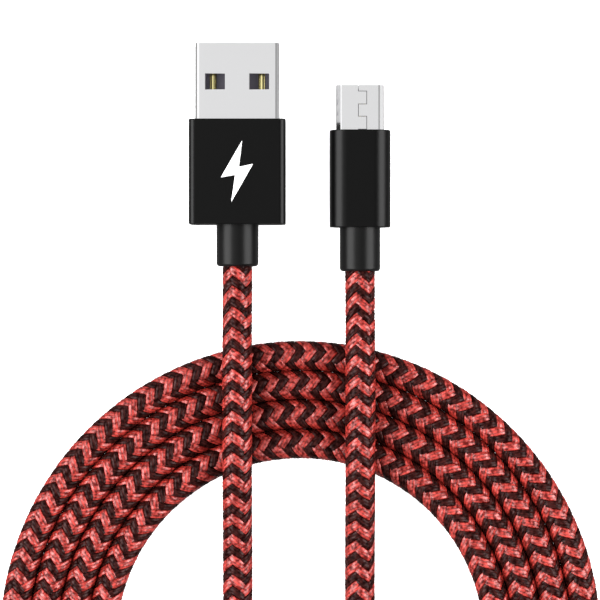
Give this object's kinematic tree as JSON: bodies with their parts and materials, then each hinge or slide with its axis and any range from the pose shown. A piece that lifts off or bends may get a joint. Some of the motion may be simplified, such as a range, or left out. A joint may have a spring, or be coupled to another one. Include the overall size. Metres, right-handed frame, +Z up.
{
  "type": "charging cable",
  "caption": "Braided charging cable with a USB-A plug and a Micro-B plug in aluminium sleeves, its cord wound into a flat round coil.",
  "frame": {"origin": "bottom centre of the box that holds the two plugs, on the surface that the cable lies on", "axes": "+Y along both plugs towards their tips, +Z up, +X from the USB-A plug towards the Micro-B plug"},
  "size_m": [0.0864, 0.129, 0.0085],
  "materials": {
    "nickel_steel": "satin nickel plate",
    "insulator": "moulded",
    "gold_plate": "gold plated",
    "tinned_copper": "bare copper",
    "solder": "bright",
    "wire_red": "satin",
    "wire_white": "satin",
    "wire_green": "satin",
    "wire_black": "satin",
    "shield": "woven wire",
    "jacket": "matte",
    "braid": "braided nylon",
    "ferrule": "plain",
    "mould": "moulded",
    "anodised_black": "satin anodised",
    "boot": "satin",
    "latch_steel": "stamped"
  },
  "bodies": {
    "cable": {"usb_a_shell": "nickel_steel", "usb_a_insulator": "insulator", "usb_a_contact_vbus": "gold_plate", "usb_a_contact_data_minus": "gold_plate", "usb_a_contact_data_plus": "gold_plate", "usb_a_contact_ground": "gold_plate", "usb_a_solder_joints": "solder", "usb_a_conductor_tips": "tinned_copper", "usb_a_wire_red": "wire_red", "usb_a_wire_white": "wire_white", "usb_a_wire_green": "wire_green", "usb_a_wire_black": "wire_black", "usb_a_cord_shield": "shield", "usb_a_cord_jacket": "jacket", "usb_a_cord_braid": "braid", "usb_a_crimp_ferrule": "ferrule", "usb_a_inner_mould": "mould", "usb_a_sleeve": "anodised_black", "usb_a_boot": "boot", "micro_b_shell": "nickel_steel", "micro_b_insulator": "insulator", "micro_b_contact_vbus": "gold_plate", "micro_b_contact_data_minus": "gold_plate", "micro_b_contact_data_plus": "gold_plate", "micro_b_contact_id": "gold_plate", "micro_b_contact_ground": "gold_plate", "micro_b_solder_joints": "solder", "micro_b_conductor_tips": "tinned_copper", "micro_b_wire_red": "wire_red", "micro_b_wire_white": "wire_white", "micro_b_wire_green": "wire_green", "micro_b_wire_black": "wire_black", "micro_b_cord_shield": "shield", "micro_b_cord_jacket": "jacket", "micro_b_cord_braid": "braid", "micro_b_crimp_ferrule": "ferrule", "micro_b_inner_mould": "mould", "micro_b_sleeve": "anodised_black", "micro_b_boot": "boot", "cord_tail_usb_a": "braid", "cord_coil": "braid", "cord_tail_micro_b": "braid"},
    "latch_left": {"micro_b_latch_left": "latch_steel"},
    "latch_right": {"micro_b_latch_right": "latch_steel"}
  },
  "joints": [
    {"name": "latch_left_press", "type": "hinge", "parent": "cable", "child": "latch_left", "pos_m": [0.0079, 0.0027, 0.00288], "axis": [1, 0, 0], "range_deg": [0, 4.6], "stiffness_Nm_per_rad": 0.04},
    {"name": "latch_right_press", "type": "hinge", "parent": "cable", "child": "latch_right", "pos_m": [0.0122, 0.0027, 0.00288], "axis": [1, 0, 0], "range_deg": [0, 4.6], "stiffness_Nm_per_rad": 0.04}
  ]
}
